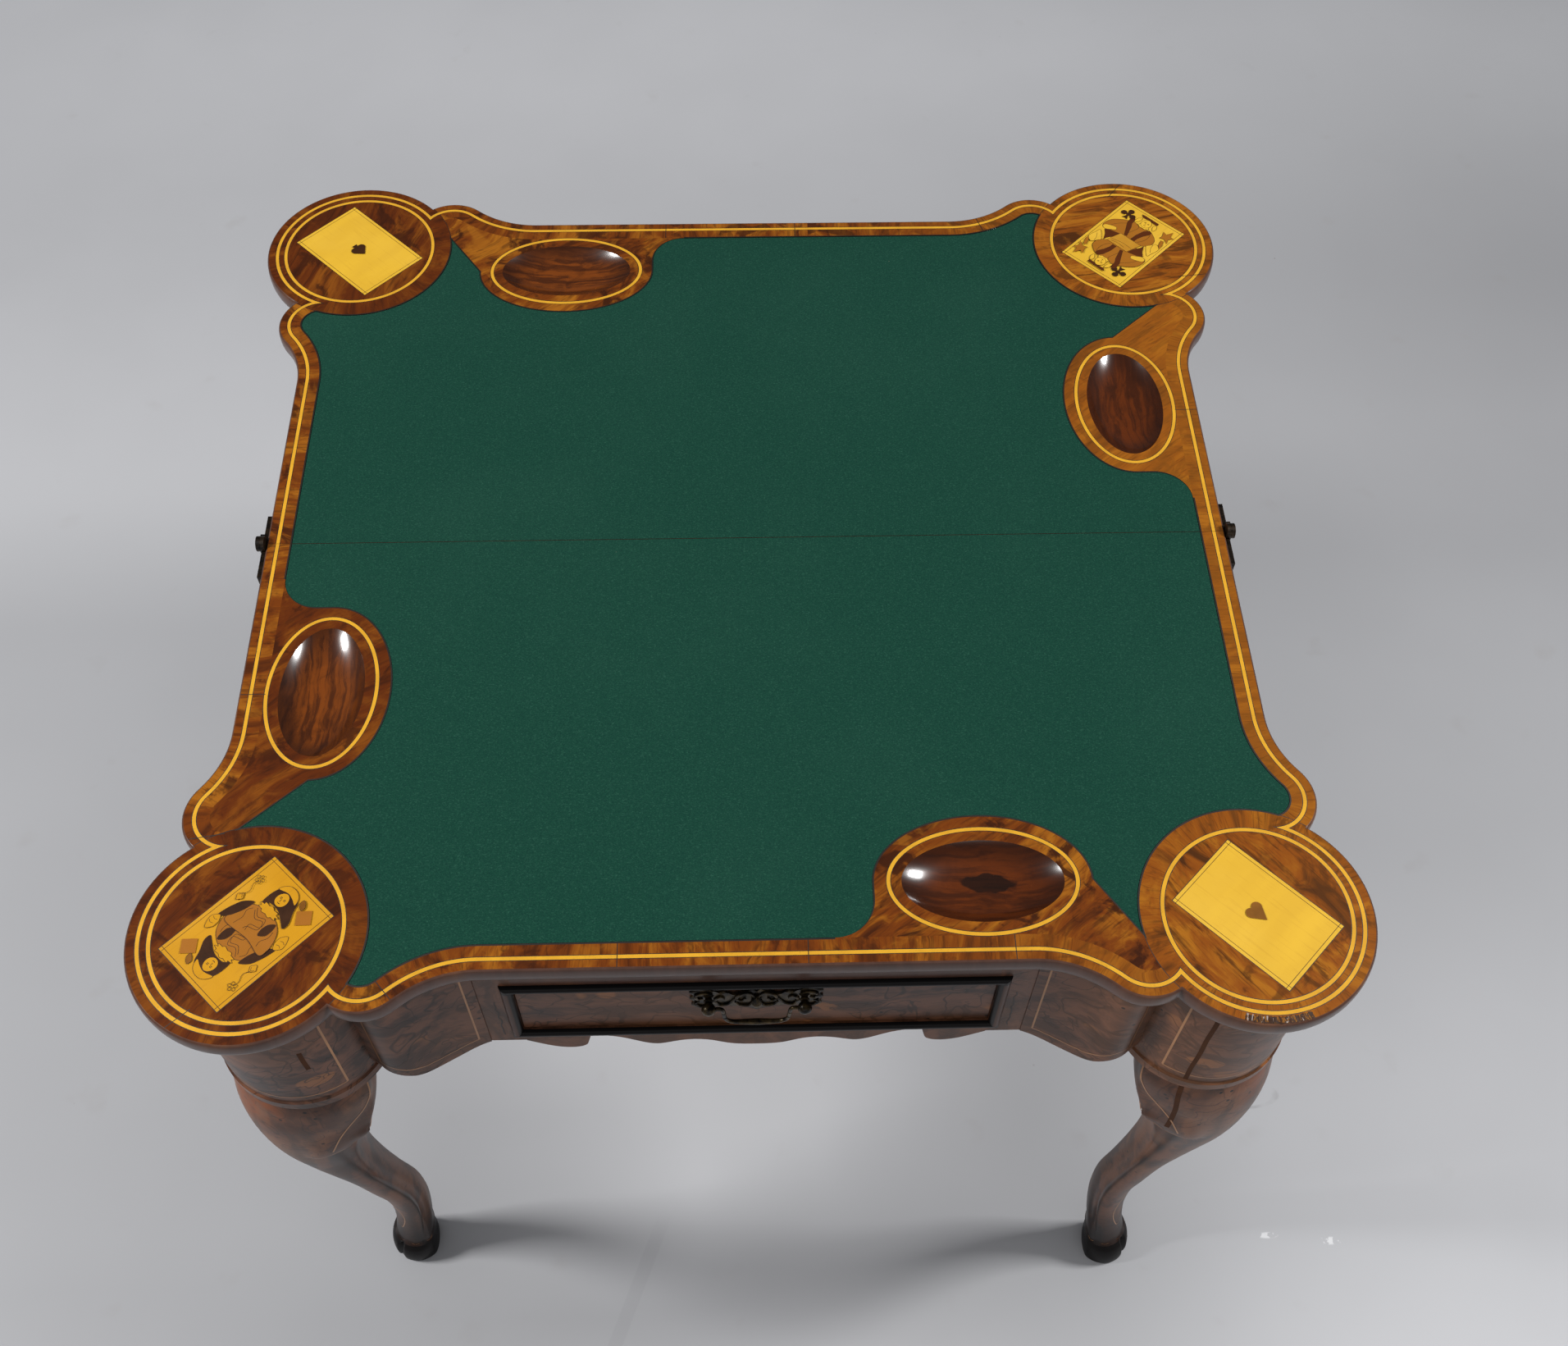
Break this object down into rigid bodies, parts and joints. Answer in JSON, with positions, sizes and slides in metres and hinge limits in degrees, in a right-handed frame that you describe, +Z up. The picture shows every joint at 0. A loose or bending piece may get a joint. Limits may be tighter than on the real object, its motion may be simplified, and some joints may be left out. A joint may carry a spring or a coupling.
{
  "type": "folding game table",
  "caption": "Card table whose top folds open on swinging gate legs: baize field, dished wells, inlaid card corners, frieze drawer with a drop handle, cabriole legs on hooves.",
  "frame": {"origin": "on the floor, under the middle of the joint between the two leaves of the open top", "axes": "+X to the right of a player who sits at the drawer, +Y to the back, +Z up"},
  "size_m": [0.842, 0.822, 0.7563],
  "materials": {
    "walnut": "polished walnut veneer",
    "frieze_walnut": "aged walnut veneer, satin",
    "leg_walnut": "aged walnut, satin",
    "dark_moulding": "ebonised wood, satin",
    "boxwood": "boxwood stringing, polished",
    "card_maple": "pale inlaid wood, polished",
    "pip_wood": "stained inlaid wood, polished",
    "oak": "unpolished oak",
    "baize": "green woollen baize",
    "brass": "dark aged brass",
    "iron": "dark worn iron"
  },
  "bodies": {
    "carcase": {"front_leaf": "walnut", "front_leaf_stringing": "boxwood", "front_card_panels": "card_maple", "front_card_pips": "pip_wood", "front_baize": "baize", "front_hinge_plates": "brass", "front_hinge_screws": "brass", "leaf_hinge_pins": "iron", "front_top_rail": "frieze_walnut", "left_front_stile": "frieze_walnut", "right_front_stile": "frieze_walnut", "front_bottom_rail": "frieze_walnut", "drawer_surround": "dark_moulding", "left_front_bracket": "frieze_walnut", "right_front_bracket": "frieze_walnut", "left_side_apron": "frieze_walnut", "right_side_apron": "frieze_walnut", "left_front_drum": "frieze_walnut", "right_front_drum": "frieze_walnut", "left_front_leg": "leg_walnut", "right_front_leg": "leg_walnut", "back_rail": "oak", "left_rear_corner_return": "frieze_walnut", "right_rear_corner_return": "frieze_walnut", "gate_hinge_block": "oak", "left_gate_pin": "iron", "right_gate_pin": "iron", "left_drawer_runner": "oak", "right_drawer_runner": "oak", "left_drawer_kicker": "oak", "right_drawer_kicker": "oak", "top_fixing_blocks": "oak", "top_screws": "iron"},
    "rear_leaf": {"rear_leaf": "walnut", "rear_leaf_stringing": "boxwood", "rear_card_panels": "card_maple", "rear_card_pips": "pip_wood", "rear_baize": "baize", "rear_hinge_plates": "brass", "rear_hinge_screws": "brass"},
    "left_gate": {"left_gate_rail": "oak", "left_rear_drum": "frieze_walnut", "left_rear_leg": "leg_walnut"},
    "right_gate": {"right_gate_rail": "oak", "right_rear_drum": "frieze_walnut", "right_rear_leg": "leg_walnut"},
    "drawer": {"drawer_front": "frieze_walnut", "left_drawer_side": "oak", "right_drawer_side": "oak", "drawer_back": "oak", "drawer_bottom": "oak", "handle_backplate": "brass", "handle_posts": "brass", "handle_nuts": "brass"},
    "drawer_bail": {"handle_bail": "brass"}
  },
  "joints": [
    {"name": "leaf_fold", "type": "hinge", "parent": "carcase", "child": "rear_leaf", "pos_m": [0, 0, 0.7503], "axis": [1, 0, 0], "range_deg": [0, 180]},
    {"name": "right_gate_swing", "type": "hinge", "parent": "carcase", "child": "right_gate", "pos_m": [0.058, -0.027, 0.69], "axis": [0, 0, 1], "range_deg": [-65, 0]},
    {"name": "left_gate_swing", "type": "hinge", "parent": "carcase", "child": "left_gate", "pos_m": [-0.058, -0.027, 0.69], "axis": [0, 0, 1], "range_deg": [0, 65]},
    {"name": "drawer_slide", "type": "slide", "parent": "carcase", "child": "drawer", "axis": [0, -1, 0], "range_m": [0, 0.2]},
    {"name": "bail_swing", "type": "hinge", "parent": "drawer", "child": "drawer_bail", "pos_m": [0, -0.356, 0.666], "axis": [-1, 0, 0], "range_deg": [0, 85]}
  ]
}
